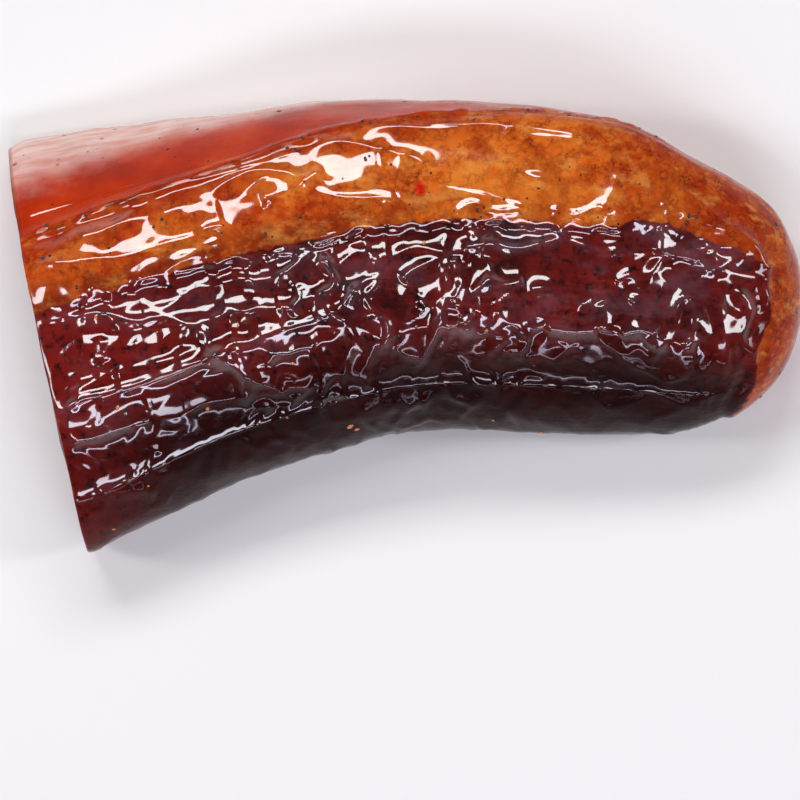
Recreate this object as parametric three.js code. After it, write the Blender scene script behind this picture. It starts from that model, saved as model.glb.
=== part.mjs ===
// A slab of smoked bacon with its rind on, lying on one of its long cut faces.
// It grew as one piece, so it is one solid: rind, fat and lean are zones of the same body.
//
// Millimetres, +Z up. +X runs from the square-cut end to the rounded end and +Y points at the rind.
// The origin is on the surface that the slab rests on, under the middle of its box.

import * as THREE from "three";

const LENGTH = 190; // of the slab's middle line along X, from the cut end to the tip of the round end
const ARCH = 20.5; // how far that line rises off its start, towards the rind, where it rises most

// The slab's sizes along its length. Each is on a smooth curve through these stations.
// at: the share of LENGTH
// rise: the middle line's share of ARCH
// turn: degrees that the cross-section is turned in plan, 0 standing square to X
// rind: how far the rind side leans out at its foot, beyond its upper edge
// fat, lean: the widths of the fat and of the lean on the upper cut face
// edge, crown: the heights of the rind's upper edge and of the lean's highest line
// soft: the rounding of the rind's upper edge
// bulge: how far the rind side swells out of the straight
const STATIONS = [
  {
    at: 0.0, rise: 0.0, turn: 11.5, rind: 26, fat: 19, lean: 63.5, edge: 36, crown: 44,
    soft: 2.5, bulge: 8,
  },
  {
    at: 0.23, rise: 0.64, turn: 11, rind: 17, fat: 21.5, lean: 55.5, edge: 39, crown: 46,
    soft: 2.5, bulge: 6,
  },
  {
    at: 0.47, rise: 1.0, turn: 3, rind: 6, fat: 26.5, lean: 52.5, edge: 41, crown: 47,
    soft: 3, bulge: 3,
  },
  {
    at: 0.73, rise: 0.84, turn: -5.5, rind: 1.5, fat: 26, lean: 52, edge: 39, crown: 45,
    soft: 5, bulge: 2,
  },
  {
    at: 0.86, rise: 0.54, turn: -9, rind: 1, fat: 23, lean: 46, edge: 36, crown: 42,
    soft: 10, bulge: 2,
  },
  {
    at: 1.0, rise: 0.41, turn: -7, rind: 1, fat: 21, lean: 44, edge: 34, crown: 40,
    soft: 16, bulge: 2,
  },
];

// Details of a cross-section.
const FOOT_ROUND = 5; // rounding where the sides meet the table
const FAT_SWELL = 1.5; // how far the fat swells above the straight line across it
const SEAM_STEP = 1.2; // how far the lean lies below the fat where they meet
const SEAM_DROP = 1.5; // how far that seam lies below the crown
const SHOULDER_IN = 12; // how far the lean's shoulder stands in from the front
const SHOULDER_DROP = 9; // and how far it lies below the crown
const BELLY_HEIGHT = 18; // height of the line where the front stands out furthest

// The round end closes the slab over its last stretch.
const ROUND_END_LENGTH = 34;
const PLAN_POWER = 2.1; // superellipse power of its outline seen from above
const SIDE_POWER = 2.6; // and seen from the side
const SECTION_POWER = 2.4; // and of the section that the slab's own section turns into at the tip
const TIP_HEIGHT = 14; // height of the point that reaches furthest
const UNDERCUT = 1.6; // how deep below the table its lower curve would bottom out, in tip heights

const CUT_EDGE_ROUND = 2; // rounding round the edge of the cut face

// How finely the curves are divided. ROWS has a number for each curve of the cross-section: foot,
// rind, rind edge, fat, seam, lean, front, front foot and base.
const ROWS = [3, 7, 5, 7, 2, 12, 9, 3, 9];
const CUT_EDGE_STEPS = 3;
const BODY_STEPS = 42;
const ROUND_END_STEPS = 12;

const lerp = THREE.MathUtils.lerp;

// The curve through one of the sizes at the stations, as a function of the share of LENGTH.
function curveOf(name) {
  const places = STATIONS.map((station) => station.at);
  const values = STATIONS.map((station) => station[name]);
  const curve = new THREE.CubicInterpolant(places, values, 1);
  return (share) => curve.evaluate(share)[0];
}

const SIZE_NAMES = ["rise", "turn", "rind", "fat", "lean", "edge", "crown", "soft", "bulge"];
const curves = Object.fromEntries(SIZE_NAMES.map((name) => [name, curveOf(name)]));

// The point that lies a distance from `start` towards `end`.
function towards(start, end, distance) {
  return end.clone().sub(start).setLength(distance).add(start);
}

// The point halfway from `start` to `end`, moved out to the left of that way.
function between(start, end, outward) {
  const way = end.clone().sub(start);
  const left = new THREE.Vector2(-way.y, way.x).setLength(outward);
  return start.clone().add(end).divideScalar(2).add(left);
}

// The outline of a cross-section, seen along the slab: x is across, towards the rind, and y is up.
// It starts at the rind's foot, goes over the top to the front, and comes back along the table.
// `step` is how far the lean lies below the fat at their seam.
function crossSection(share, step) {
  const names = ["rind", "fat", "lean", "edge", "crown", "soft", "bulge"];
  const [rind, fat, lean, edge, crown, soft, bulge] = names.map((name) => curves[name](share));
  const half = (rind + fat + lean) / 2;
  const foot = new THREE.Vector2(half, FOOT_ROUND);
  const rindEdge = new THREE.Vector2(half - rind, edge);
  const seam = new THREE.Vector2(half - rind - fat, crown - SEAM_DROP);
  const shoulder = new THREE.Vector2(SHOULDER_IN - half, crown - SHOULDER_DROP);
  const sideTop = towards(rindEdge, foot, soft);
  const fatStart = towards(rindEdge, seam, soft);
  const sideSwell = between(sideTop, foot, bulge);
  const fatSwell = between(seam, fatStart, FAT_SWELL);

  const outline = new THREE.Path();
  outline.moveTo(half - FOOT_ROUND, 0);
  outline.quadraticCurveTo(half, 0, foot.x, foot.y);
  outline.quadraticCurveTo(sideSwell.x, sideSwell.y, sideTop.x, sideTop.y);
  outline.quadraticCurveTo(rindEdge.x, rindEdge.y, fatStart.x, fatStart.y);
  outline.quadraticCurveTo(fatSwell.x, fatSwell.y, seam.x, seam.y);
  outline.lineTo(seam.x - SEAM_STEP, seam.y - step);
  outline.splineThru([
    new THREE.Vector2(lerp(seam.x, -half, 1 / 4), crown - step / 3),
    new THREE.Vector2(lerp(seam.x, -half, 1 / 2), crown),
    shoulder,
  ]);
  outline.bezierCurveTo(
    shoulder.x - SHOULDER_IN / 2,
    shoulder.y - SHOULDER_DROP / 2,
    -half,
    BELLY_HEIGHT + SHOULDER_DROP,
    -half,
    BELLY_HEIGHT,
  );
  outline.bezierCurveTo(-half, BELLY_HEIGHT / 2, -half + FOOT_ROUND / 2, 0, -half + FOOT_ROUND, 0);
  outline.lineTo(half - FOOT_ROUND, 0);

  return outline.curves.flatMap((curve, index) => curve.getPoints(ROWS[index]).slice(1));
}

// A quarter of a superellipse: 1 at 0, falling to 0 at 1.
function quarter(share, power) {
  return Math.max(0, 1 - share ** power) ** (1 / power);
}

// A point of a cross-section, moved by `amount` of its way to a superellipse of the same size.
function rounded(point, half, top, amount) {
  const up = point.y - TIP_HEIGHT;
  const reach = up > 0 ? top - TIP_HEIGHT : TIP_HEIGHT;
  const sum = Math.abs(point.x / half) ** SECTION_POWER + Math.abs(up / reach) ** SECTION_POWER;
  const scale = lerp(1, sum ** (-1 / SECTION_POWER), amount);
  return new THREE.Vector2(point.x * scale, TIP_HEIGHT + up * scale);
}

function middleAt(share) {
  return new THREE.Vector2(share * LENGTH, ARCH * curves.rise(share));
}

// One ring of points round the slab. `inset` draws it in, for the rounding of the cut face's edge.
function ringAt(share, inset = 0) {
  const middle = middleAt(share);
  const across = new THREE.Vector2(0, 1).rotateAround(
    new THREE.Vector2(),
    THREE.MathUtils.degToRad(curves.turn(share)),
  );
  const roundStart = 1 - ROUND_END_LENGTH / LENGTH;
  const rounding = Math.max(0, (share - roundStart) / (1 - roundStart));
  const widthLeft = quarter(rounding, PLAN_POWER);
  const heightLeft = quarter(rounding, SIDE_POWER);
  const floor = Math.max(0, TIP_HEIGHT * (1 - UNDERCUT * heightLeft));
  const outline = crossSection(share, SEAM_STEP * widthLeft);
  const half = Math.max(...outline.map((point) => point.x));
  const top = Math.max(...outline.map((point) => point.y));
  const drawnIn = 1 - inset / half;
  return outline.map((point) => {
    const { x, y } = rounded(point, half, top, rounding);
    const out = x * widthLeft * drawnIn;
    const up =
      y > TIP_HEIGHT
        ? TIP_HEIGHT + (y - TIP_HEIGHT) * heightLeft * drawnIn
        : lerp(floor, TIP_HEIGHT, y / TIP_HEIGHT);
    return new THREE.Vector3(middle.x + across.x * out, middle.y + across.y * out, up);
  });
}

// The rings from the cut end to the round end, leaving out its tip.
function rings() {
  const made = [];
  for (let step = 0; step <= CUT_EDGE_STEPS; step++) {
    const angle = (step / CUT_EDGE_STEPS) * (Math.PI / 2);
    const depth = CUT_EDGE_ROUND * (1 - Math.cos(angle));
    const inset = CUT_EDGE_ROUND * (1 - Math.sin(angle));
    made.push(ringAt(depth / LENGTH, inset));
  }
  const bodyStart = CUT_EDGE_ROUND / LENGTH;
  const roundStart = 1 - ROUND_END_LENGTH / LENGTH;
  for (let step = 1; step <= BODY_STEPS; step++) {
    made.push(ringAt(lerp(bodyStart, roundStart, step / BODY_STEPS)));
  }
  for (let step = 1; step < ROUND_END_STEPS; step++) {
    const reach = Math.sin((step / ROUND_END_STEPS) * (Math.PI / 2));
    made.push(ringAt(lerp(roundStart, 1, reach)));
  }
  return made;
}

function slabGeometry() {
  const rows = rings();
  const count = rows[0].length;
  const tip = middleAt(1);
  const points = [...rows.flat(), new THREE.Vector3(tip.x, tip.y, TIP_HEIGHT)];
  const tipIndex = points.length - 1;
  const triangles = [];
  for (let ring = 0; ring < rows.length - 1; ring++) {
    for (let row = 0; row < count; row++) {
      const a = ring * count + row;
      const b = ring * count + ((row + 1) % count);
      triangles.push(a, b, a + count, b, b + count, a + count);
    }
  }
  const last = (rows.length - 1) * count;
  for (let row = 0; row < count; row++) {
    triangles.push(last + row, last + ((row + 1) % count), tipIndex);
  }
  // The cut face is flat, so it is filled from the first ring's own outline.
  const flat = rows[0].map((point) => new THREE.Vector2(point.y, point.z));
  for (const [a, b, c] of THREE.ShapeUtils.triangulateShape(flat, [])) {
    triangles.push(a, c, b);
  }

  const geometry = new THREE.BufferGeometry().setFromPoints(points);
  geometry.setIndex(triangles);
  geometry.computeBoundingBox();
  const centre = geometry.boundingBox.getCenter(new THREE.Vector3());
  geometry.translate(-centre.x, -centre.y, -geometry.boundingBox.min.z);
  geometry.computeVertexNormals();
  return geometry;
}

const smokedMeat = new THREE.MeshStandardMaterial({
  color: 0x7a2412,
  roughness: 0.28,
  metalness: 0,
});

const slab = new THREE.Mesh(slabGeometry(), smokedMeat);
slab.name = "bacon_slab";

const bacon = new THREE.Group();
bacon.add(slab);

export default bacon;
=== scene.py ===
"""The looks of a slab of smoked bacon: rind, fat and lean, wet and creased from being packed tight."""

import math

import bpy
import numpy as np
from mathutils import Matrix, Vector
from mathutils.bvhtree import BVHTree


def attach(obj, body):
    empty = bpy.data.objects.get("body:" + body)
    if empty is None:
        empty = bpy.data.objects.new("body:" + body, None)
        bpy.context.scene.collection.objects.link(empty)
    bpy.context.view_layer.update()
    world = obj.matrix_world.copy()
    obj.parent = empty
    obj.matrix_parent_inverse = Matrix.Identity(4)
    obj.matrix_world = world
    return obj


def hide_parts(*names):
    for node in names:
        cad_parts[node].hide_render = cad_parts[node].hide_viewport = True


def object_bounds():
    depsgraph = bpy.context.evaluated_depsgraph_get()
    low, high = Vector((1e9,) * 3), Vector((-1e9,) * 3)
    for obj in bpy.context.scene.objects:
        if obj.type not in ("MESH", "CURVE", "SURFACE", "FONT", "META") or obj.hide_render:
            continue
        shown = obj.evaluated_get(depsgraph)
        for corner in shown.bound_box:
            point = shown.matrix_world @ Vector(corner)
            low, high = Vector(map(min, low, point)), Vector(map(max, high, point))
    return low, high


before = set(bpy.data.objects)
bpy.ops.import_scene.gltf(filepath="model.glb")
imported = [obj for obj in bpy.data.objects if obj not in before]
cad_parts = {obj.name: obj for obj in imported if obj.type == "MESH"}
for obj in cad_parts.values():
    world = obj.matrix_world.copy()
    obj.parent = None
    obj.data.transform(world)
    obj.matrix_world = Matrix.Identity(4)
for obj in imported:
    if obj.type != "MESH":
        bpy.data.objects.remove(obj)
CAD_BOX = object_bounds()
MM = 0.001

# ---------------------------------------------------------------- where things are on the slab, in mm
# The middle line of the slab and its cross-sections, as the solid has them.
LENGTH = 190.0
ARCH = 20.5
START = np.array([-89.95, -5.27])  # where the middle line leaves the cut face
ROUND_END_LENGTH = 34.0
ROUND_START = 1 - ROUND_END_LENGTH / LENGTH
NOSE_POWER = 2.1  # superellipse power of the rounded end, seen from above
TIP_HEIGHT = 14.0
STATIONS = [0.0, 0.23, 0.47, 0.73, 0.86, 1.0]
RISE = [0.0, 0.64, 1.0, 0.84, 0.54, 0.41]
TURN = [11.5, 11.0, 3.0, -5.5, -9.0, -7.0]
RIND_LEAN = [26.0, 17.0, 6.0, 1.5, 1.0, 1.0]
WIDTH = [108.5, 94.0, 85.0, 79.5, 70.0, 66.0]
EDGE_HEIGHT = [36.0, 39.0, 41.0, 39.0, 36.0, 34.0]
CROWN_HEIGHT = [44.0, 46.0, 47.0, 45.0, 42.0, 40.0]
# How far the seam between fat and lean lies from the middle line, towards the rind.
SEAM_PLACES = [0.0, 0.23, 0.47, 0.73, 0.8, 0.86, 0.93, 1.0]
SEAM_ACROSS = [9.0, 8.2, 9.8, 13.2, 16.6, 15.8, 12.0, 10.0]
NOSE_FAT = 9.0  # width of the strip of fat that turns round the nose

# How finely the surface is divided: rings along it, and points of a ring on each of its four sides.
RINGS = 368
SIDE_POINTS = {"rind": 36, "top": 150, "front": 34, "base": 24}
EDGE_RINGS = [0.05, 0.25, 0.6, 1.1, 1.6]  # where the first rings stand, in mm from the cut face
BODY_RINGS_START = 2.1  # where the evenly spaced ones start, in mm too
NOSE_RINGS = 70
CAP_STEPS = 30  # loops between the middle of the cut face and its edge
RAY_HEIGHT = 15.0  # height of the line inside the slab from which its surface is found
TIP_AIM = 0.35  # how much of that height, and of the tip's, the aim of its rays keeps at the tip
CAP_MIDDLE_HEIGHT = 20.0
CUT_RIND = 1.5  # thickness of the rind on the cut face


def curve(places, values, share):
    """A smooth curve through the values at those places, read at each share."""
    places, values = np.array(places), np.array(values)
    slopes = np.gradient(values, places)
    cell = np.clip(np.searchsorted(places, share, side="right") - 1, 0, len(places) - 2)
    span = places[cell + 1] - places[cell]
    u = (np.clip(share, places[0], places[-1]) - places[cell]) / span
    a, b = values[cell], values[cell + 1]
    m, n = slopes[cell] * span, slopes[cell + 1] * span
    return (
        (2 * u**3 - 3 * u**2 + 1) * a
        + (u**3 - 2 * u**2 + u) * m
        + (3 * u**2 - 2 * u**3) * b
        + (u**3 - u**2) * n
    )


def smooth(low, high, value):
    """0 at low and 1 at high, with an easy change between them. low may be the greater."""
    u = np.clip((value - low) / (high - low), 0, 1)
    return u * u * (3 - 2 * u)


def middle_of(share):
    """The points of the middle line at each share of its length, seen from above."""
    return np.stack([share * LENGTH, ARCH * curve(STATIONS, RISE, share)], -1) + START


def across_of(share):
    """The ways across the slab at each share, towards the rind."""
    angle = np.radians(curve(STATIONS, TURN, share))
    return np.stack([-np.sin(angle), np.cos(angle)], -1)


# ---------------------------------------------------------------- the plain surface, as a grid of points
def outline_targets(half, top, floor):
    """Points round the box of a cross-section, from the rind's foot over the top to the front and back."""
    up, over, down, back = (np.linspace(0, 1, count, endpoint=False) for count in SIDE_POINTS.values())
    across = [half + up * 0, half - 2 * half * over, -half + down * 0, -half + 2 * half * back]
    height = [floor + (top - floor) * up, top + over * 0, top + (floor - top) * down, floor + back * 0]
    return np.concatenate(across), np.concatenate(height)


def blur(grid, sigma, axis):
    """The grid smoothed along one axis. It wraps round a ring, and is held at the slab's ends."""
    reach = int(3 * sigma)
    weights = np.exp(-0.5 * (np.arange(-reach, reach + 1) / sigma) ** 2)
    weights /= weights.sum()
    pad = [(reach, reach) if k == axis else (0, 0) for k in range(grid.ndim)]
    if axis == 1:
        wide = np.pad(grid, pad, mode="wrap")
    else:
        wide = np.pad(grid, pad, mode="reflect", reflect_type="odd")
    count = grid.shape[axis]
    return sum(w * np.take(wide, range(k, k + count), axis=axis) for k, w in enumerate(weights))


def ring_places():
    """Shares of the length where the rings stand: close at the cut edge, even, then closing on the nose."""
    edge = np.array(EDGE_RINGS) / LENGTH
    body = np.linspace(BODY_RINGS_START / LENGTH, ROUND_START, RINGS - len(edge) - NOSE_RINGS)
    angle = np.linspace(0, math.pi / 2, NOSE_RINGS + 2)[1:-1]
    return np.concatenate([edge, body, ROUND_START + (1 - ROUND_START) * np.sin(angle)])


def ray_ways(share):
    """The ways from the inside of the cross-section at that share to the points round its box."""
    beyond = max(0.0, (share - ROUND_START) / (1 - ROUND_START))
    left = max(0.02, (1 - beyond**NOSE_POWER)) ** (1 / NOSE_POWER)
    half = curve(STATIONS, WIDTH, share) / 2 * left
    top = TIP_HEIGHT + (curve(STATIONS, CROWN_HEIGHT, share) - TIP_HEIGHT) * left
    across, height = outline_targets(half, top, TIP_HEIGHT * (1 - left))
    up = height - RAY_HEIGHT * (TIP_AIM + (1 - TIP_AIM) * left) - TIP_HEIGHT * TIP_AIM * (1 - left)
    size = np.hypot(across, up)
    return np.stack([across / size, up / size], -1)


def solid_tree(node):
    """The solid's faces in mm, ready for rays."""
    mesh = node.data
    points = np.empty(len(mesh.vertices) * 3)
    mesh.vertices.foreach_get("co", points)
    corners = [Vector(point) for point in points.reshape(-1, 3) / MM]
    return BVHTree.FromPolygons(corners, [tuple(face.vertices) for face in mesh.polygons])


def plain_surface(node):
    """The solid's own surface on a fine grid. Returns the shares, the across values and the points."""
    tree = solid_tree(node)
    shares = ring_places()
    ways = np.stack([ray_ways(share) for share in shares])
    middles, sides = middle_of(shares), across_of(shares)
    left = np.clip(1 - np.clip((shares - ROUND_START) / (1 - ROUND_START), 0, 1) ** NOSE_POWER, 0, 1)
    nose_height = TIP_HEIGHT + (RAY_HEIGHT - TIP_HEIGHT) * left
    centre_height = np.where(shares > ROUND_START, nose_height, RAY_HEIGHT)
    distance = np.full(ways.shape[:2], np.nan)
    for i, (middle, side) in enumerate(zip(middles, sides)):
        origin = Vector((middle[0], middle[1], centre_height[i]))
        for j, (out, up) in enumerate(ways[i]):
            hit = tree.ray_cast(origin, Vector((side[0] * out, side[1] * out, up)))
            if hit[0] is not None:
                distance[i, j] = hit[3]
    missed = np.isnan(distance)
    distance[missed] = np.interp(np.flatnonzero(missed), np.flatnonzero(~missed), distance[~missed])
    distance = blur(blur(distance, 5, 0), 2.5, 1)
    # The front shoulder is rounder than the solid's.
    high = smooth(12, 30, distance * ways[..., 1] + centre_height[:, None])
    shoulder = high * smooth(-14, -28, distance * ways[..., 0])
    distance += shoulder * (blur(distance, 6, 1) - distance)
    across = distance * ways[..., 0]
    height = distance * ways[..., 1] + centre_height[:, None]
    flat = middles[:, None, :] + sides[:, None, :] * across[..., None]
    return shares, across, np.concatenate([flat, height[..., None]], -1)


# ---------------------------------------------------------------- noise for the relief
def noise(points, size, seed):
    """Smooth noise of about -1 to 1 whose bumps are `size` mm apart."""
    place = np.asarray(points, float) / size
    cell = np.floor(place).astype(np.int64)
    part = place - cell
    ease = part**3 * (part * (part * 6 - 15) + 10)
    total = np.zeros(len(place))
    for corner in range(8):
        step = np.array([corner & 1, corner >> 1 & 1, corner >> 2 & 1])
        at = cell + step
        code = (at[:, 0] * 73856093) ^ (at[:, 1] * 19349663) ^ (at[:, 2] * 83492791) ^ (seed * 2654435761)
        code = (code ^ (code >> 13)) * 1274126177 & 0x7FFFFFFF
        code = (code ^ (code >> 16)) & 0xFFFFFF
        turn = (code & 0xFFF) / 4096 * 2 * math.pi
        rise = (code >> 12) / 4096 * 2 - 1
        flat = np.sqrt(1 - rise**2)
        gap = part - step
        dot = gap[:, 0] * flat * np.cos(turn) + gap[:, 1] * flat * np.sin(turn) + gap[:, 2] * rise
        weight = np.prod(np.where(step == 1, ease, 1 - ease), axis=1)
        total += weight * dot
    return np.clip(total * 1.6, -1, 1)


def ridged(points, size, seed, sharpness):
    """Noise with sharp crests where the plain noise crosses zero: 1 on a crest, 0 far from it."""
    return np.clip(1 - 2.2 * np.abs(noise(points, size, seed)), 0, 1) ** sharpness


def crests(phase, sharpness):
    """Crests one unit apart: 1 on a crest, 0 halfway between two."""
    return np.abs(2 * (phase - np.floor(phase)) - 1) ** sharpness


# ---------------------------------------------------------------- creases listed one by one
# Each is a line of points seen from above, its height and its half width. All in mm.
FOLDS = [
    # along the rind's upper edge
    ([(-97.5, 19.5), (-84, 24.5), (-70, 30), (-59, 33.5), (-47, 37), (-35, 40.5), (-17, 46)], 0.5, 0.9),
    # on the fat
    (
        [(-97, 20), (-95, 16), (-91, 15), (-78, 16), (-69, 17), (-59, 20)]
        + [(-52, 22), (-48, 24), (-44, 24), (-43, 21)],
        0.9,
        1.4,
    ),
    ([(-68, 11), (-60, 13), (-55, 16), (-48, 20), (-45, 21)], 0.8, 1.4),
    ([(-83, 21), (-66, 26), (-48, 31)], 1.1, 4.2),
    ([(-37, 35), (-33, 30)], 0.8, 2.6),
    ([(-36, 31), (-27, 34), (-20, 39)], 1.1, 3.0),
    ([(-5, 47), (-6, 41), (-4, 34), (-3, 27), (-5, 21)], 0.8, 1.5),
    ([(0, 44), (-1, 38), (1, 31)], 0.5, 1.2),
    ([(34, 38), (33, 33), (31, 29)], 0.7, 2.2),
    ([(24, 49), (33, 47), (44, 46)], 0.6, 2.4),
    ([(81, 26), (87, 19), (91, 13)], 0.8, 1.6),
    ([(72, 44), (84, 36), (93, 28), (95, 18), (95, 5)], 0.6, 1.4),
    # along the seam
    ([(-50, 15), (-40, 17), (-35, 15)], 0.8, 1.3),
    ([(-34, 18), (-27, 18), (-22, 20), (-15, 23), (-11, 25), (-5, 25)], 0.8, 1.3),
    ([(12, 27), (17, 30), (23, 28), (31, 29)], 0.9, 1.5),
    ([(35, 29), (42, 27), (48, 29), (51, 26)], 0.9, 1.5),
    ([(63, 26), (65, 30), (69, 27)], 0.8, 1.3),
    ([(74, 25), (82, 23), (88, 18), (91, 12)], 0.8, 1.5),
    # on the lean, from the cut end
    ([(-92, 1), (-84, 2), (-75, 3), (-66, 1), (-60, 2), (-50, 0)], 1.0, 1.9),
    ([(-89, -23), (-84, -21), (-79, -18), (-70, -16), (-57, -12), (-48, -8), (-41, -4)], 1.3, 2.0),
    ([(-86, -18), (-72, -12), (-60, -9), (-50, -5)], 0.8, 1.6),
    ([(-46, -4), (-38, -4), (-29, -1), (-19, 2), (-14, 6), (-11, 11)], 1.1, 1.9),
    ([(-50, 1), (-47, -7), (-40, -12), (-39, -21)], 1.2, 1.7),
    ([(-42, -5), (-38, -13), (-30, -16)], 0.9, 1.6),
    ([(-87, -31), (-74, -27), (-61, -23)], 0.9, 1.9),
    ([(-80, -44), (-67, -41), (-61, -42)], 0.8, 1.8),
    ([(-50, -42), (-41, -38), (-31, -34), (-25, -32)], 0.8, 2.4),
    ([(-75, -3), (-74, -9)], 0.7, 1.6),
    ([(-30, 14), (-26, 8), (-28, 2)], 1.0, 1.6),
    ([(-22, 17), (-17, 12), (-19, 5), (-14, 0)], 1.0, 1.7),
    ([(-8, 19), (-6, 12), (-9, 6), (-4, 0), (-6, -8)], 1.0, 1.7),
    ([(-2, -6), (4, -8), (8, -1), (10, 4), (14, 3), (16, -4)], 1.1, 1.8),
    ([(12, 17), (14, 12), (12, 5)], 0.9, 1.7),
    ([(-1, 11), (3, 14), (10, 17)], 0.9, 1.7),
    ([(11, 18), (21, 20), (28, 19), (39, 21), (50, 18), (62, 18)], 1.1, 2.2),
    ([(19, 12), (25, 10), (30, 11)], 1.0, 2.2),
    ([(30, 9), (37, 9), (42, 7), (45, 4)], 0.8, 2.0),
    ([(52, 10), (56, 12), (59, 8), (55, 6)], 1.0, 1.8),
    ([(64, 27), (64, 17)], 0.9, 1.5),
    ([(60, 4), (61, 12), (65, 17), (73, 16), (78, 10), (79, 1), (80, -7), (79, -16)], 1.3, 1.9),
    ([(61, -11), (65, -2), (68, 6), (71, 6), (72, 0), (70, -8)], 1.1, 1.7),
    ([(34, -1), (43, -2), (48, -1)], 0.8, 2.0),
    ([(49, 6), (50, 2), (49, -2)], 0.8, 1.8),
    ([(53, -3), (58, -1), (63, -2)], 0.9, 1.8),
    ([(82, 10), (86, 4), (84, -3), (88, -8)], 1.0, 1.7),
    ([(76, 19), (79, 12)], 0.8, 1.6),
    ([(25, -20), (32, -25), (44, -27)], 0.7, 2.4),
    ([(-12, -24), (-2, -20), (8, -19)], 0.7, 2.2),
    ([(88, 13), (92, 2), (91, -6), (90, -15)], 0.6, 1.4),
]


def smooth_path(line):
    """A smooth path through a line's points, with six stretches between two of them."""
    line = np.array(line, float)
    places = np.arange(len(line))
    fine = np.linspace(0, len(line) - 1, 6 * (len(line) - 1) + 1)
    return np.stack([curve(places, line[:, axis], fine) for axis in (0, 1)], -1)


def nearest_on(path, spots):
    """How far each spot lies from a path, and at what share of the path that is."""
    best = np.full(len(spots), np.inf)
    share = np.zeros(len(spots))
    for k, (start, end) in enumerate(zip(path[:-1], path[1:])):
        way = end - start
        u = np.clip(((spots - start) @ way) / (way @ way), 0, 1)
        gap = np.linalg.norm(spots - start - u[:, None] * way, axis=1)
        closer = gap < best
        best[closer] = gap[closer]
        share[closer] = (k + u[closer]) / (len(path) - 1)
    return best, share


def fold_relief(flat):
    """The height that the listed creases add at each point, and how much of a crest it is on."""
    relief, crest = np.zeros(len(flat)), np.zeros(len(flat))
    for line, height, width in FOLDS:
        path = smooth_path(line)
        reach = 4 * width + 2
        near = np.all((flat > path.min(0) - reach) & (flat < path.max(0) + reach), axis=1)
        spots = flat[near]
        gap, share = nearest_on(path, spots)
        ends = smooth(0, 0.12, share) * smooth(0, 0.12, 1 - share)
        uneven = 0.75 + 0.45 * noise(np.append(spots, spots[:, :1] * 0, 1), 7, 40)
        shape = ends * uneven * np.exp(-((gap / width) ** 1.25))
        relief[near] += height * shape
        crest[near] = np.maximum(crest[near], np.clip(height, 0, 1) * shape)
    return relief, crest


# ---------------------------------------------------------------- zones and relief
def soft_least(first, second, blend):
    """The lesser of two values, rounded off where they lie within `blend` of each other."""
    mix = np.clip(0.5 + 0.5 * (first - second) / blend, 0, 1)
    return first * (1 - mix) + second * mix - blend * mix * (1 - mix)


def zones(shares, across, points):
    """How deep each point lies in the lean, in the rind and in front of the seam, in mm.

    Outside them it is below 0. The shares come first, spread over the grid.
    """
    share = np.broadcast_to(shares[:, None], across.shape)
    height = points[..., 2]
    edge = curve(STATIONS, EDGE_HEIGHT, share)
    lean_out = curve(STATIONS, RIND_LEAN, share)
    half = curve(STATIONS, WIDTH, share) / 2
    spots = points.reshape(-1, 3)
    wave = (1.1 * noise(spots, 10, 31) + 0.5 * noise(spots, 4.2, 32)).reshape(across.shape)

    # The lean ends at the seam, and short of the nose at the strip of fat that turns round it.
    slant = lean_out * np.clip(1 - height / edge, 0, 1)
    side = curve(SEAM_PLACES, SEAM_ACROSS, share) + slant - across + wave
    beyond = np.clip((share - ROUND_START) / (1 - ROUND_START), 0, 1)
    reach = (beyond**NOSE_POWER + np.abs(across / half) ** NOSE_POWER) ** (1 / NOSE_POWER)
    to_front = np.degrees(np.arctan2(-across / half, beyond + 1e-6))
    strip = NOSE_FAT * (1 - smooth(15, 60, to_front))
    nose = (1 - reach) * ROUND_END_LENGTH - strip + 60 * smooth(52, 88, to_front) + wave
    lean = soft_least(nose, side, 5.0)

    # The rind is what lies down the side from its upper edge. It narrows and ends before the nose.
    inward = half - lean_out - across
    below = np.maximum(edge - height, 0)
    rind = np.hypot(np.minimum(inward, 0), below * smooth(4, -1, inward)) - np.maximum(inward, 0)
    rind += 0.8 * wave - 2.5 * smooth(0.25, 0.45, share)
    rind -= 7 * smooth(0.5, 0.72, share) + 40 * smooth(0.84, 0.97, share)
    return share, lean, rind, side


def fat_relief(plan, along):
    """Soft dents, and shallow pulls across the fat. It is calmer towards the nose."""
    dents = 0.55 * noise(plan * [0.6, 1.3, 1], 11, 3) + 0.22 * noise(plan, 5, 4)
    pulls = 0.5 * ridged(plan * [0.45, 1.2, 1], 14, 5, 3.0)
    return (dents + pulls) * (1.2 - 0.75 * smooth(70, 110, along))


def rind_relief(spots):
    """Almost smooth, with pits."""
    return 0.18 * noise(spots, 9, 6) - 0.35 * smooth(0.55, 0.9, noise(spots, 4.5, 7))


def rim_relief(plan, along, rind):
    """The rind's upper edge, raised beside a groove and torn towards the nose, before which it ends."""
    rim = np.exp(-(((rind - 0.2) / 1.3) ** 2))
    groove = 0.5 * np.exp(-(((rind + 3.0) / 1.6) ** 2))
    torn = 0.15 + 0.5 * smooth(60, 105, along)
    return (rim * (0.5 + torn * noise(plan, 3.2, 8)) - groove) * (1 - smooth(138, 158, along))


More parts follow.
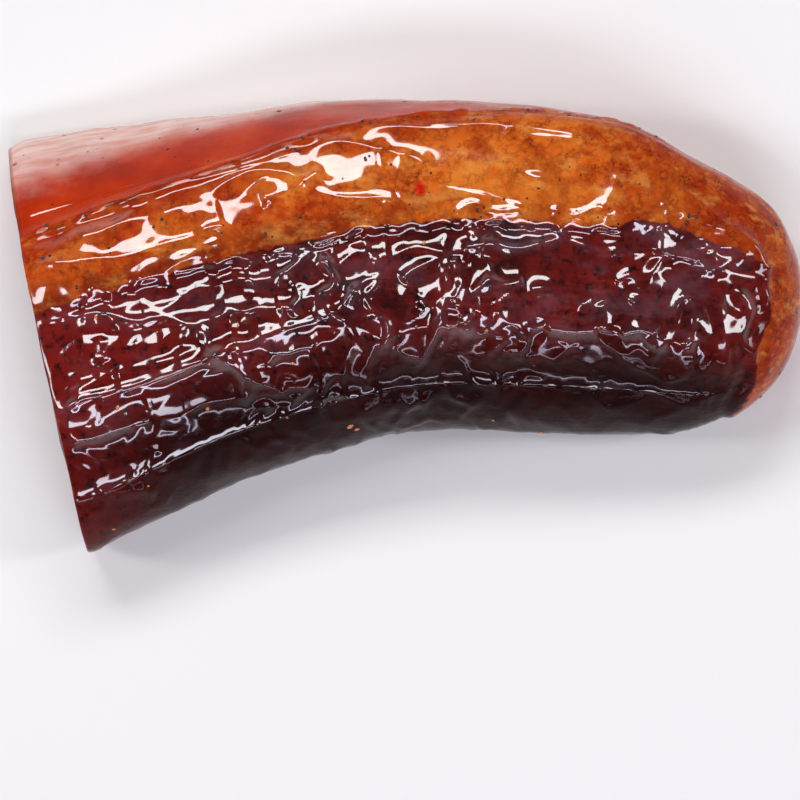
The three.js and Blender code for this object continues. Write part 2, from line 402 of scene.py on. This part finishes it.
def lean_relief(plan, along, lean, height):
    """Ridges along the lean, wrinkles across them, and a crumple that is strongest in the middle.

    Returns the relief and how strongly it is creased.
    """
    left = 1 - smooth(62, 104, along)
    middle = smooth(40, 62, along) * (1 - smooth(112, 132, along))
    swirl = np.exp(-(((along - 160) / 17) ** 2)) * smooth(2, 8, lean)
    plate = smooth(112, 124, along) * (1 - smooth(142, 152, along))
    plate *= smooth(5, 9, lean) * (1 - smooth(20, 27, lean))
    calm = 0.35 + 0.65 * smooth(22, 36, height)

    warp = 3.4 * noise(plan, 19, 9) + 1.9 * noise(plan, 8, 10)
    ridge = crests((lean + warp) / 9.6 + 0.34, 1.6)
    ridge *= (0.6 + 0.4 * noise(plan * [0.4, 1, 1], 13, 11)) * (0.6 + 0.4 * left)
    ridge *= 1 - 0.9 * smooth(31, 40, lean)

    shift = 5.0 * noise(plan, 13, 12) + 1.6 * noise(plan, 6, 22) + 0.3 * lean
    cross = crests((along + shift) / 6.8, 1.5)
    cross *= (0.5 + 0.5 * noise(plan, 11, 13)) * (0.3 + 0.2 * left + 0.3 * middle)

    twisted = plan + np.stack([2.2 * noise(plan, 7, 14), 2.2 * noise(plan, 7, 15), along * 0], -1)
    patchy = smooth(-0.45, 0.35, noise(plan, 15, 19))
    rough = 0.4 + 0.6 * middle + 0.5 * swirl + 0.1 * left
    rough *= (1 - 0.75 * plate) * (0.65 + 0.35 * smooth(24, 38, height))
    crumple = 0.7 * ridged(twisted, 10, 16, 1.7) * (0.4 + 0.6 * patchy)
    crumple = rough * (crumple + 0.28 * ridged(twisted, 5.6, 17, 1.4) * patchy)

    sag = -1.1 - 0.5 * noise(plan * [0.5, 1, 1], 17, 20)
    relief = sag + ridge * calm + cross * (1 - 0.6 * plate) * calm + crumple
    return relief, np.clip(0.55 * ridge + 0.8 * crumple + 0.35 * cross, 0, 1)


def seam_pulls(plan, along, lean):
    """Short pulls across the step at the seam."""
    near = np.exp(-(((lean - 1.4) / 1.5) ** 2))
    return near * (0.25 + 0.75 * crests((along + 1.5 * noise(plan, 6, 21)) / 6.4, 1.4))


def relief_of(share, lean, rind, across, points):
    """How far each point of the plain surface is raised, in mm, and how strongly it is creased, 0 to 1."""
    shape = across.shape
    share, lean, rind, across = share.ravel(), lean.ravel(), rind.ravel(), across.ravel()
    spots = points.reshape(-1, 3)
    height = spots[:, 2]
    along = share * LENGTH
    plan = np.stack([along, across, height * 0.8], -1)
    in_lean = smooth(-0.4, 2.4, lean)
    in_rind = smooth(-1.0, 0.6, rind)
    in_fat = (1 - smooth(-1.5, 0.2, lean)) * (1 - in_rind)
    low = smooth(1.0, 8.0, height)
    at_cut = smooth(0.0, 5.0, along)
    upper = smooth(22, 32, height + 12 * smooth(168, 182, along))

    swell = 0.9 * noise(spots, 34, 1) + 0.45 * noise(spots, 15, 2)
    meat, creased = lean_relief(plan, along, lean, height)
    pulls = seam_pulls(plan, along, lean)
    folds, crest = fold_relief(spots[:, :2])
    detail = in_fat * fat_relief(plan, along) + in_rind * rind_relief(spots) + in_lean * meat
    detail += rim_relief(plan, along, rind) * smooth(12, 30, height) + 0.7 * pulls
    raised = low * swell + at_cut * low * detail + at_cut * upper * folds * (1 + 0.35 * in_lean)
    creased = np.clip(in_lean * creased + 0.5 * pulls + crest, 0, 1) * low
    return raised.reshape(shape), creased.reshape(shape)


def outward(points):
    """The unit normals of a grid of points."""
    along = np.gradient(points, axis=0)
    wide = np.concatenate([points[:, -1:], points, points[:, :1]], axis=1)
    around = (wide[:, 2:] - wide[:, :-2]) / 2
    normal = np.cross(along, around)
    normal /= np.linalg.norm(normal, axis=-1, keepdims=True) + 1e-12
    centre = points.mean(axis=1, keepdims=True)
    if ((points - centre) * normal).sum() < 0:
        normal = -normal
    return normal


def cap_loops(edge_loop):
    """Loops of points over the cut face, from its edge inwards, and the point at its middle."""
    middle = np.append(middle_of(np.array([0.0]))[0], CAP_MIDDLE_HEIGHT)
    loops = [middle + (edge_loop - middle) * k / CAP_STEPS for k in range(CAP_STEPS - 1, 0, -1)]
    for k, loop in enumerate(loops, 1):
        loop[:, 0] -= min(1, k / 3) * (0.7 * noise(loop, 16, 33) + 0.35 * noise(loop, 6, 34))
    return loops, middle


def cap_zones(loops):
    """The zones on the points of the cut face."""
    points = np.array(loops).reshape(-1, 3)
    start = np.array([0.0])
    across = (points[:, :2] - middle_of(start)[0]) @ across_of(start)[0]
    _, lean, _, front = zones(start, across[None], points[None])
    wall = WIDTH[0] / 2 - RIND_LEAN[0] * np.clip(points[:, 2] / EDGE_HEIGHT[0], 0, 1)
    return lean.ravel(), CUT_RIND - (wall - across), front.ravel()


def slab_faces(rings, count):
    """The faces of the grid, of the loops over its cut face, and of the fans at their middle and the tip."""
    pairs = [(j, (j + 1) % count) for j in range(count)]
    faces = []
    for row in range(0, (rings - 1) * count, count):
        faces += [(row + j, row + k, row + count + k, row + count + j) for j, k in pairs]
    loops = [0] + [(rings + k) * count for k in range(CAP_STEPS - 1)]
    for outer, inner in zip(loops[:-1], loops[1:]):
        faces += [(outer + k, outer + j, inner + j, inner + k) for j, k in pairs]
    last_ring = (rings - 1) * count
    middle = (rings + CAP_STEPS - 1) * count
    tip = middle + 1
    for j, k in pairs:
        faces += [(loops[-1] + k, loops[-1] + j, middle), (last_ring + j, last_ring + k, tip)]
    return faces


def store(mesh, name, values):
    """Stores a number for each point of a mesh, for its material to read."""
    mesh.attributes.new(name, "FLOAT", "POINT").data.foreach_set("value", np.asarray(values, np.float32))


def sculpt_slab(node):
    """The slab as one closed mesh with its zones stored on its points."""
    shares, across, points = plain_surface(node)
    share, lean, rind, front = zones(shares, across, points)
    raised, creased = relief_of(share, lean, rind, across, points)
    fade = smooth(0, 0.06, 1 - shares)[:, None]
    ways_out = outward(points)
    facing = ways_out[..., 2]
    points = points + ways_out * (raised * fade)[..., None]
    points[..., 2] = np.maximum(points[..., 2], 0.0)
    loops, middle = cap_loops(points[0])
    tip = points[-1].mean(axis=0) + [0.05, 0, 0]
    everything = np.concatenate([points.reshape(-1, 3), *loops, middle[None], tip[None]])

    mesh = bpy.data.meshes.new("smoked_bacon")
    mesh.from_pydata((everything * MM).tolist(), [], slab_faces(*across.shape))
    mesh.update()
    if sum(face.center.dot(face.normal) * face.area for face in mesh.polygons) < 0:
        mesh.flip_normals()
    mesh.polygons.foreach_set("use_smooth", np.ones(len(mesh.polygons), bool))

    # Each has the values of the grid, of the cut face, and of the points at its middle and the tip.
    cap_lean, cap_rind, cap_front = cap_zones(loops)
    none = np.zeros(len(cap_lean))
    near_cut = 1 - smooth(0.2, 1.2, share * LENGTH)
    fields = {
        "lean_mm": (lean, cap_lean, [10, -5]),
        "rind_mm": (rind, cap_rind, [-30, -1]),
        "front_mm": (front, cap_front, [10, 0]),
        "crease": (creased, none, [0, 0]),
        "facing": (facing, none, [0, 0]),
        "cut_face": (near_cut, none + 1, [1, 0]),
    }
    for name, (grid, cap, ends) in fields.items():
        store(mesh, name, np.concatenate([grid.ravel(), cap, ends]))
    slab = bpy.data.objects.new("smoked_bacon", mesh)
    bpy.context.scene.collection.objects.link(slab)
    return slab


# ---------------------------------------------------------------- materials
RED_SPOT = (3.8, 33.6, 43.0)  # where a red spot lies on the fat, in mm


def colour(code):
    """A hex colour as the linear values that shaders use."""
    parts = [int(code[k : k + 2], 16) / 255 for k in (0, 2, 4)]
    return (*[p / 12.92 if p <= 0.04045 else ((p + 0.055) / 1.055) ** 2.4 for p in parts], 1.0)


class Wire:
    """A number socket of a material, on which ordinary sums can be written."""

    def __init__(self, recipe, socket):
        self.recipe = recipe
        self.socket = socket

    def _maths(self, operation, *values, clamp=False):
        settings = {"operation": operation, "use_clamp": clamp}
        return self.recipe.node("ShaderNodeMath", settings, dict(enumerate(values)))

    def __add__(self, other):
        return self._maths("ADD", self, other)

    def __sub__(self, other):
        return self._maths("SUBTRACT", self, other)

    def __mul__(self, other):
        return self._maths("MULTIPLY", self, other)

    def __rsub__(self, other):
        return self._maths("SUBTRACT", other, self)

    __radd__ = __add__
    __rmul__ = __mul__

    def held(self):
        """Kept between 0 and 1."""
        return self._maths("ADD", self, 0.0, clamp=True)

    def size(self):
        """Its distance from 0."""
        return self._maths("ABSOLUTE", self)

    def rise(self, low, high):
        """0 at low, 1 at high, eased between. low and high are numbers or wires."""
        settings = {"interpolation_type": "SMOOTHSTEP"}
        return self.recipe.node("ShaderNodeMapRange", settings, {0: self, 1: low, 2: high})


class Recipe:
    """The nodes of one material."""

    def __init__(self, name):
        self.material = bpy.data.materials.new(name)
        self.material.use_nodes = True
        self.tree = self.material.node_tree
        self.tree.nodes.clear()
        self.place = self.node("ShaderNodeTexCoord", output="Object")
        self.place = self.stretched((1 / MM, 1 / MM, 1 / MM))

    def node(self, kind, settings=None, sockets=None, output=0):
        """Adds a node: its settings first, then its sockets. Returns one of its outputs."""
        made = self.tree.nodes.new(kind)
        for key, value in (settings or {}).items():
            if key == "stops":
                self._stops(made.color_ramp, value)
            else:
                setattr(made, key, value)
        for key, value in (sockets or {}).items():
            target = made.inputs[key]
            if isinstance(value, Wire):
                self.tree.links.new(value.socket, target)
            elif value is not None:
                target.default_value = value
        return Wire(self, made.outputs[output]) if made.outputs else None

    @staticmethod
    def _stops(ramp, stops):
        while len(ramp.elements) < len(stops):
            ramp.elements.new(1.0)
        for element, (position, code) in zip(ramp.elements, stops):
            element.position = position
            element.color = colour(code)

    def stretched(self, scale):
        """The place in mm, squeezed by `scale` on each axis."""
        return self.node("ShaderNodeVectorMath", {"operation": "MULTIPLY"}, {0: self.place, 1: scale})

    def warped(self, amount, size):
        """The place in mm, pushed about by noise."""
        sockets = {"Vector": self.place, "Scale": 1 / size, "Detail": 2.0}
        push = self.node("ShaderNodeTexNoise", {"noise_dimensions": "3D"}, sockets, "Color")
        centred = self.node("ShaderNodeVectorMath", {"operation": "SUBTRACT"}, {0: push, 1: (0.5, 0.5, 0.5)})
        sockets = {0: centred, 1: (amount, amount, amount), 2: self.place}
        return self.node("ShaderNodeVectorMath", {"operation": "MULTIPLY_ADD"}, sockets)

    def noise(self, size, detail=3.0, place=None, roughness=0.55):
        """Soft noise of 0 to 1 whose patches are `size` mm apart."""
        sockets = {"Vector": place or self.place, "Scale": 1 / size, "Detail": detail}
        sockets["Roughness"] = roughness
        return self.node("ShaderNodeTexNoise", {"noise_dimensions": "3D"}, sockets)

    def cells(self, size):
        """How far it is to the nearest of points strewn `size` mm apart."""
        sockets = {"Vector": self.place, "Scale": 1 / size}
        return self.node("ShaderNodeTexVoronoi", {"feature": "F1"}, sockets, "Distance")

    def ramp(self, factor, *stops):
        return self.node("ShaderNodeValToRGB", {"stops": stops}, {0: factor})

    def stored(self, name):
        return self.node("ShaderNodeAttribute", {"attribute_name": name}, {}, "Fac")

    def mix(self, factor, first, second):
        """first where factor is 0, second where it is 1. Each is a wire or a hex colour."""
        first = colour(first) if isinstance(first, str) else first
        second = colour(second) if isinstance(second, str) else second
        settings = {"data_type": "RGBA", "clamp_factor": True}
        return self.node("ShaderNodeMix", settings, {0: factor, 6: first, 7: second}, 2)

    def finish(self, sockets, bump=None, bump_depth=0.0):
        """The surface itself. bump is a height of 0 to 1, and bump_depth what 1 stands for, in metres."""
        if bump is not None:
            height = {"Strength": 1.0, "Distance": bump_depth, "Height": bump}
            normal = self.node("ShaderNodeBump", {}, height)
            sockets = {**sockets, "Normal": normal}
        shader = self.node("ShaderNodeBsdfPrincipled", {}, sockets)
        self.node("ShaderNodeOutputMaterial", {}, {"Surface": shader})
        return self.material


class Meat(Recipe):
    """The slab's material, with the fields that its zones share."""

    def __init__(self):
        super().__init__("smoked_meat")
        self.lean_mm = self.stored("lean_mm")
        self.rind_mm = self.stored("rind_mm")
        self.crease = self.stored("crease")
        self.cut = self.stored("cut_face")
        self.x = self.node("ShaderNodeSeparateXYZ", {}, {0: self.place}, "X")
        self.z = self.node("ShaderNodeSeparateXYZ", {}, {0: self.place}, "Z")
        self.small = self.noise(2.2)
        self.medium = self.noise(6.5, 4.0)
        self.broad = self.noise(19.0, 4.0)
        self.fibres = self.noise(1.6, 3.0, self.stretched((0.16, 1.0, 0.6)))
        self.by_nose = self.x.rise(42.0, 74.0)
        # The top is the wettest. The steep sides are duller.
        self.gloss = self.stored("facing").rise(0.77, 0.98)


def fat_colour(r):
    """Orange, yellower in patches, redder by the rind, stained brown by the seam."""
    fat = r.ramp(r.broad, (0.28, "9C2A08"), (0.5, "C2460E"), (0.68, "DA6A1A"))
    fat = r.mix((1 - (r.x - 18 + (r.broad - 0.5) * 30).size().rise(12.0, 50.0)) * 0.6, fat, "E4761E")
    fat = r.mix((r.x + (r.broad - 0.5) * 40).rise(44.0, 78.0) * 0.72, fat, "9E2C0A")
    fat = r.mix((r.medium - 0.5) * 3.4 * (1 - r.by_nose * 0.7), fat, "E08A34")
    fat = r.mix((0.5 - r.medium) * 3.6, fat, "942A08")
    fat = r.mix((r.noise(2.6, 4.0) - 0.5) * 2.6, fat, "DB7A2A")
    fat = r.mix((r.rind_mm + (r.medium - 0.5) * 10).rise(-14.0, -1.0) * 0.75, fat, "A02406")
    stain = (r.lean_mm + (r.medium - 0.5) * 9).rise(-9.0, -1.0) * r.noise(4.0, 4.0).rise(0.26, 0.58)
    stain = stain * (1 - r.x.rise(-40.0, 40.0) * 0.55)
    fat = r.mix(stain * 0.85, fat, "6E1C08")

    # A web of dark threads, scorched and pale patches, and brown grains.
    web = 1 - ((r.noise(8.0, 5.0, roughness=0.62) - 0.5).size() * 30).held()
    fine_web = 1 - ((r.noise(3.4, 4.0, roughness=0.62) - 0.5).size() * 16).held()
    threads = web * (0.5 + r.by_nose * 0.25) + fine_web * r.noise(6.0, 2.0).rise(0.4, 0.6) * 0.55
    fat = r.mix(threads, fat, "781A06")
    scorch = r.noise(7.0, 5.0, r.stretched((0.5, 1.0, 1.0)), 0.7)
    fat = r.mix(scorch.rise(0.54, 0.68) * 0.7, fat, "8E2808")
    fat = r.mix((0.44 - scorch) * 3.6 * (1 - r.by_nose * 0.75), fat, "E89C44")
    fat = r.mix(r.noise(1.1, 2.0).rise(0.66, 0.78) * 0.25, fat, "5A1806")
    glow = r.noise(13.0, 3.0, r.stretched((0.7, 1.0, 1.0))).rise(0.48, 0.66) * (1 - stain)
    fat = r.mix(glow * 0.2 * (1 - r.by_nose * 0.5), fat, "E88A2C")
    mottled = 0.25 + r.x.rise(-70.0, 30.0) * 0.75
    blotch = r.noise(6.0, 5.0, r.warped(3.0, 5.0), 0.62).rise(0.5, 0.66)
    fat = r.mix(blotch * mottled * 0.5, fat, "8C2606")
    light = r.noise(4.2, 4.0, r.stretched((0.6, 1.0, 1.0)), 0.6).rise(0.52, 0.7)
    fat = r.mix(light * mottled * 0.4, fat, "EBA24C")

    # One red spot, and char along the rind's upper edge.
    spot = r.node("ShaderNodeVectorMath", {"operation": "DISTANCE"}, {0: r.place, 1: RED_SPOT}, "Value")
    fat = r.mix(1 - (spot + (r.small - 0.5) * 1.6).rise(1.6, 2.8), fat, "C81008")
    char = (1 - (r.rind_mm + 0.9 + (r.small - 0.5) * 3).size().rise(0.1, 1.0)) * r.medium.rise(0.46, 0.62)
    return r.mix(char * 0.6, fat, "4A1208")


def lean_colour(r):
    """Maroon, redder at the cut end, with painted shade that turns it near black towards the front, and a
    painted pale sheen.
    """
    lean = r.ramp(r.broad, (0.3, "2C0607"), (0.5, "4A0C0C"), (0.68, "64120F"))
    lean = r.mix((r.medium - 0.45) * 2.2, lean, "7A1C16")
    lean = r.mix(r.noise(3.4, 4.0).rise(0.55, 0.72) * 0.5, lean, "6A2A20")
    lean = r.mix((1 - (r.x + (r.broad - 0.5) * 40).rise(-84.0, -40.0)) * 0.6, lean, "7E1410")
    lean = r.mix(r.fibres.rise(0.52, 0.75) * 0.35, lean, "8C2A1E")
    # Painted shade: the lean darkens to near black down the front side, less at the cut end and on the cut
    # face.
    dark = (r.stored("front_mm") + (r.medium - 0.5) * 14).rise(22.0, 40.0) * (0.88 - r.cut * 0.5)
    lean = r.mix(dark * (0.4 + (r.x + (r.medium - 0.5) * 24).rise(-88.0, -50.0) * 0.6), lean, "110303")
    lean = r.mix((0.48 - r.small) * 5.0, lean, "1A0304")

    # Painted sheen: a pale violet reflection laid into the colour, mostly on the crests and where the top is
    # glossy.
    painted_sheen = r.noise(9.0, 4.0, r.stretched((0.6, 1.0, 1.0)), 0.62).rise(0.46, 0.68)
    painted_sheen = painted_sheen * (0.06 + r.x.rise(-40.0, 20.0) * 0.06) + r.crease.rise(0.5, 1.0) * 0.06
    lean = r.mix(painted_sheen * r.gloss, lean, "9A7C8C")

    # Thin pale streaks of fat run through it on the cut face.
    grain = (r.noise(11.0, 3.0, r.stretched((1.0, 0.45, 1.6))) - 0.5).size()
    marble = (1 - grain.rise(0.005, 0.03)) * r.noise(9.0).rise(0.42, 0.6)
    return r.mix(marble * r.cut * 0.55, lean, "A8582C")


def rind_colour(r):
    """Deep orange-red, with a pale pink foot that narrows from the cut end, and browner where cut."""
    rind = r.ramp(r.noise(14.0, 4.0), (0.3, "962007"), (0.55, "B4300A"), (0.75, "C04414"))
    streaks = r.noise(2.4, 3.0, r.stretched((0.18, 0.6, 1.0)))
    border = r.z + (r.x + 90.0) * 0.08 + (r.medium - 0.5) * 7 + (streaks - 0.5) * 7
    pale = (1 - border.rise(15.5, 31.0)) * (1 - r.x.rise(-40.0, 25.0))
    rind = r.mix(pale * 0.95, rind, "DCA496")
    rind = r.mix(pale * streaks.rise(0.3, 0.7) * 0.75, rind, "EFDAD2")
    pits = (1 - r.cells(6.0).rise(0.06, 0.16)) * r.noise(11.0).rise(0.5, 0.6)
    rind = r.mix(pits * 0.7, rind, "6A1508")
    return r.mix(r.cut * 0.6, rind, "7A2A0C")


def smoked_meat():
    """Fat, lean and rind in one material, with soot over them and a wet gloss on top."""
    r = Meat()
    in_lean = (r.lean_mm + (r.small - 0.5) * 2.4).rise(-0.35, 0.45)
    rind_edge = r.rind_mm + (r.small - 0.5) * 2.0 + (r.medium - 0.5) * r.by_nose * 22
    in_rind = rind_edge.rise(-0.5 - r.by_nose * 13, 0.3 + r.by_nose * 5)
    base = r.mix(in_lean, fat_colour(r), lean_colour(r))
    base = r.mix(in_rind, base, rind_colour(r))
    soot = (1 - r.cells(3.4).rise(0.05, 0.11)) * r.noise(8.0).rise(0.5, 0.62) * (1 - in_lean * 0.9)
    base = r.mix(soot * (1 - r.cut) * 0.9, base, "1C0A06")

    sockets = {
        "Base Color": base,
        "Roughness": 0.1 + r.medium * 0.1 + r.cut * 0.15,
        "Specular IOR Level": 0.07,
        "Subsurface Weight": 0.12,
        "Subsurface Radius": (1.0, 0.35, 0.15),
        "Subsurface Scale": 0.0022,
        "Coat Weight": (0.03 + r.gloss * 0.9 + r.crease.rise(0.35, 0.9) * 0.1).held(),
        "Coat Roughness": 0.07,
        "Coat IOR": 1.75,
    }
    skin = r.noise(0.7, 2.0) * 0.2 + r.noise(1.6) * 0.8
    dull = (1 - r.gloss) * (r.fibres * 1.6 + r.noise(3.0, 4.0) * 2.4)
    return r.finish(sockets, skin + dull, 0.06 * MM)


def soot_material():
    r = Recipe("soot")
    base = r.ramp(r.noise(0.5), (0.35, "120705"), (0.7, "3A160C"))
    sockets = {"Base Color": base, "Roughness": 0.35, "Coat Weight": 0.5, "Coat Roughness": 0.1}
    return r.finish(sockets, r.noise(0.3), 0.1 * MM)


def fat_bead_material():
    r = Recipe("fat_bead")
    sockets = {
        "Base Color": r.ramp(r.noise(0.8), (0.35, "B2541A"), (0.65, "E0963E")),
        "Roughness": 0.22,
        "Subsurface Weight": 0.3,
        "Subsurface Scale": 0.001,
        "Coat Weight": 0.8,
    }
    return r.finish(sockets, r.noise(0.5), 0.1 * MM)


# ---------------------------------------------------------------- specks scattered over the surface
FULL_TURN = 6.283  # in radians


def speck_tree(name, divisions, flatness, material, seed):
    """Geometry nodes that strew lumps over a mesh, as densely as its "chance" says for a square metre."""
    tree = bpy.data.node_groups.new(name + "_scatter", "GeometryNodeTree")
    face = tree.interface
    face.new_socket("Geometry", in_out="INPUT", socket_type="NodeSocketGeometry")
    for label in ("Smallest", "Largest"):
        face.new_socket(label, in_out="INPUT", socket_type="NodeSocketFloat")
    face.new_socket("Geometry", in_out="OUTPUT", socket_type="NodeSocketGeometry")

    def add(kind, settings, sockets):
        """Adds a node: its settings first, then its sockets."""
        made = tree.nodes.new(kind)
        for key, value in settings.items():
            setattr(made, key, value)
        for key, value in sockets.items():
            if isinstance(value, bpy.types.NodeSocket):
                tree.links.new(value, made.inputs[key])
            else:
                made.inputs[key].default_value = value
        return made.outputs

    # Where the specks lie, each turned about the way out of the surface.
    given = add("NodeGroupInput", {}, {})
    chance = add("GeometryNodeInputNamedAttribute", {"data_type": "FLOAT"}, {"Name": "chance"})
    spread = add(
        "GeometryNodeDistributePointsOnFaces",
        {"distribute_method": "RANDOM"},
        {"Mesh": given["Geometry"], "Density": chance["Attribute"], "Seed": seed},
    )
    spin = add(
        "FunctionNodeRandomValue", {"data_type": "FLOAT"}, {2: 0.0, 3: FULL_TURN, "Seed": seed + 1}
    )
    euler = add("ShaderNodeCombineXYZ", {}, {"Z": spin[1]})
    turn = add(
        "FunctionNodeRotateRotation", {"rotation_space": "LOCAL"}, {0: spread["Rotation"], 1: euler[0]}
    )

    # One lump, dented by noise and pressed flat.
    ball = add("GeometryNodeMeshIcoSphere", {}, {"Radius": 1.0, "Subdivisions": divisions})
    place = add("GeometryNodeInputPosition", {}, {})
    dents = add("ShaderNodeTexNoise", {}, {"Scale": 1.3, "Vector": place[0]})
    push = add(
        "ShaderNodeVectorMath",
        {"operation": "MULTIPLY_ADD"},
        {0: dents["Color"], 1: (1.3, 1.3, 0.5), 2: (-0.65, -0.65, -0.25)},
    )
    lumpy = add("GeometryNodeSetPosition", {}, {"Geometry": ball["Mesh"], "Offset": push[0]})
    flat = add("GeometryNodeTransform", {}, {"Geometry": lumpy[0], "Scale": (1.0, 1.0, flatness)})

    # Copies of it, each of a size and a stretch of its own.
    size = add(
        "FunctionNodeRandomValue",
        {"data_type": "FLOAT"},
        {2: given["Smallest"], 3: given["Largest"], "Seed": seed + 2},
    )
    skew = add(
        "FunctionNodeRandomValue",
        {"data_type": "FLOAT_VECTOR"},
        {0: (0.6, 0.6, 0.8), 1: (1.5, 1.1, 1.1), "Seed": seed + 3},
    )
    scale = add("ShaderNodeVectorMath", {"operation": "SCALE"}, {0: skew[0], "Scale": size[1]})
    copies = add(
        "GeometryNodeInstanceOnPoints",
        {},
        {"Points": spread["Points"], "Instance": flat[0], "Rotation": turn[0], "Scale": scale[0]},
    )
    real = add("GeometryNodeRealizeInstances", {}, {"Geometry": copies[0]})
    rounded = add("GeometryNodeSetShadeSmooth", {}, {"Geometry": real[0]})
    painted = add("GeometryNodeSetMaterial", {}, {"Geometry": rounded[0], "Material": material})
    add("NodeGroupOutput", {}, {0: painted[0]})
    return tree


def scatter(name, slab, chances, sizes, tree):
    """Specks on the slab, as a plain mesh. sizes are the smallest and the largest radius, in metres."""
    store(slab.data, "chance", chances)
    carrier = bpy.data.objects.new(name + "_carrier", slab.data)
    bpy.context.scene.collection.objects.link(carrier)
    modifier = carrier.modifiers.new(name, "NODES")
    modifier.node_group = tree
    keys = {item.name: item.identifier for item in tree.interface.items_tree if item.in_out == "INPUT"}
    modifier[keys["Smallest"]], modifier[keys["Largest"]] = sizes
    evaluated = carrier.evaluated_get(bpy.context.evaluated_depsgraph_get())
    mesh = bpy.data.meshes.new_from_object(evaluated)
    mesh.name = name
    bpy.data.objects.remove(carrier)
    slab.data.attributes.remove(slab.data.attributes["chance"])
    specks = bpy.data.objects.new(name, mesh)
    bpy.context.scene.collection.objects.link(specks)
    return specks


def read(mesh, name):
    """The numbers stored for the points of a mesh."""
    values = np.empty(len(mesh.vertices), np.float32)
    mesh.attributes[name].data.foreach_get("value", values)
    return values


def add_specks(slab):
    """Soot on the fat and the rind, thickest by the rind's edge and the seam; beads of fat on the lean."""
    mesh = slab.data
    lean, rind, cut = read(mesh, "lean_mm"), read(mesh, "rind_mm"), read(mesh, "cut_face")
    place = np.empty(len(mesh.vertices) * 3, np.float32)
    mesh.vertices.foreach_get("co", place)
    height = place.reshape(-1, 3)[:, 2] / MM
    upper = smooth(14, 26, height) * (1 - cut)
    on_fat = 1 - smooth(-1.0, 0.3, lean)
    on_rind = smooth(0.5, 2.0, rind)
    by_rim = np.exp(-(((rind + 0.8) / 1.8) ** 2))
    by_seam = np.exp(-(((lean + 1.5) / 2.2) ** 2))
    soot = upper * (on_fat * (1 - on_rind) * (9000 + 60000 * by_rim + 26000 * by_seam) + on_rind * 3500)
    soot_tree = speck_tree("smoke_flecks", 1, 0.4, soot_material(), 11)
    flecks = scatter("smoke_flecks", slab, soot, (0.18 * MM, 0.62 * MM), soot_tree)
    fat = upper * smooth(2, 5, lean) * 1700
    bead_tree = speck_tree("fat_beads", 2, 0.6, fat_bead_material(), 23)
    beads = scatter("fat_beads", slab, fat, (0.25 * MM, 0.7 * MM), bead_tree)
    return flecks, beads


# ---------------------------------------------------------------- floor, light and camera
def floor():
    """A plain pale floor that is brighter far off, where only low views reach."""
    bpy.ops.mesh.primitive_plane_add(size=14.0, location=(0, 0, -0.2 * MM))
    ground = bpy.context.object
    ground.name = "floor"
    r = Recipe("pale_floor")
    far = r.node("ShaderNodeVectorMath", {"operation": "LENGTH"}, {0: r.place}, "Value").rise(500.0, 2200.0)
    sockets = {
        "Base Color": colour("F3F3F1"),
        "Roughness": 0.7,
        "Emission Color": r.mix(far, "000000", "F2F3F6"),
        "Emission Strength": 0.8,
    }
    ground.data.materials.append(r.finish(sockets))


def lamp(name, place, size, brightness, tint):
    """A flat lamp turned to the slab. brightness is what its face shows, where 1 is a white floor."""
    light = bpy.data.lights.new(name, "AREA")
    light.shape = "RECTANGLE"
    light.size, light.size_y = size
    light.energy = math.pi * size[0] * size[1] * brightness
    light.color = tint
    made = bpy.data.objects.new(name, light)
    made.location = place
    target = Vector((0, 0, 30 * MM))
    made.rotation_euler = (target - made.location).to_track_quat("-Z", "Y").to_euler()
    bpy.context.scene.collection.objects.link(made)


def room():
    """The air round the slab: bright along the horizon and dim overhead, so that the wet top stays dark."""
    world = bpy.data.worlds.new("soft_room")
    world.use_nodes = True
    tree = world.node_tree
    way = tree.nodes.new("ShaderNodeTexCoord")
    parts = tree.nodes.new("ShaderNodeSeparateXYZ")
    fall = tree.nodes.new("ShaderNodeMapRange")
    fall.interpolation_type = "SMOOTHSTEP"
    settings = {"From Min": 0.0, "From Max": 0.42, "To Min": 0.8, "To Max": 0.05}
    for label, value in settings.items():
        fall.inputs[label].default_value = value
    sky = tree.nodes["Background"]
    sky.inputs["Color"].default_value = (0.96, 0.97, 1.0, 1)
    tree.links.new(way.outputs["Generated"], parts.inputs[0])
    tree.links.new(parts.outputs["Z"], fall.inputs["Value"])
    tree.links.new(fall.outputs[0], sky.inputs["Strength"])
    bpy.context.scene.world = world


# Each lamp's name, place and size in metres, brightness and tint.
LAMPS = [
    ("window_back", (-0.15, 0.60, 0.80), (0.7, 0.22), 10.5, (0.99, 0.98, 1.0)),
    ("window_front", (0.10, -0.50, 0.85), (0.6, 0.15), 10.0, (0.90, 0.86, 1.0)),
    ("window_left", (-0.70, 0.05, 0.65), (0.14, 0.5), 10.0, (0.97, 0.96, 1.0)),
    ("window_right", (0.75, 0.05, 0.60), (0.14, 0.5), 10.0, (0.97, 0.96, 1.0)),
    ("window_low", (0.15, -0.95, 0.50), (0.7, 0.05), 14.0, (0.86, 0.80, 1.0)),
    ("lamp_high", (-0.30, -0.22, 0.95), (0.2, 0.07), 12.0, (1.0, 1.0, 0.98)),
]


def camera():
    """Looks almost straight down, with the slab in the upper half of the view."""
    low, high = (np.array(corner) for corner in CAD_BOX)
    centre = (low + high) / 2
    aim = Vector((centre[0] - 1.0 * MM, centre[1] - 18.3 * MM, high[2] * 0.55))
    distance = 1.5
    elevation = math.radians(89.5)
    data = bpy.data.cameras.new("camera")
    data.sensor_width = 36
    data.lens = 270
    made = bpy.data.objects.new("camera", data)
    made.location = aim + Vector((0, -math.cos(elevation), math.sin(elevation))) * distance
    made.rotation_euler = (aim - made.location).to_track_quat("-Z", "Y").to_euler()
    bpy.context.scene.collection.objects.link(made)
    bpy.context.scene.camera = made


slab = sculpt_slab(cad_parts["bacon_slab"])
flecks, beads = add_specks(slab)
slab.data.materials.append(smoked_meat())
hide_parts("bacon_slab")
for piece in (slab, flecks, beads):
    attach(piece, "root")
floor()
room()
for details in LAMPS:
    lamp(*details)
camera()
bpy.context.scene.view_settings.view_transform = "Standard"
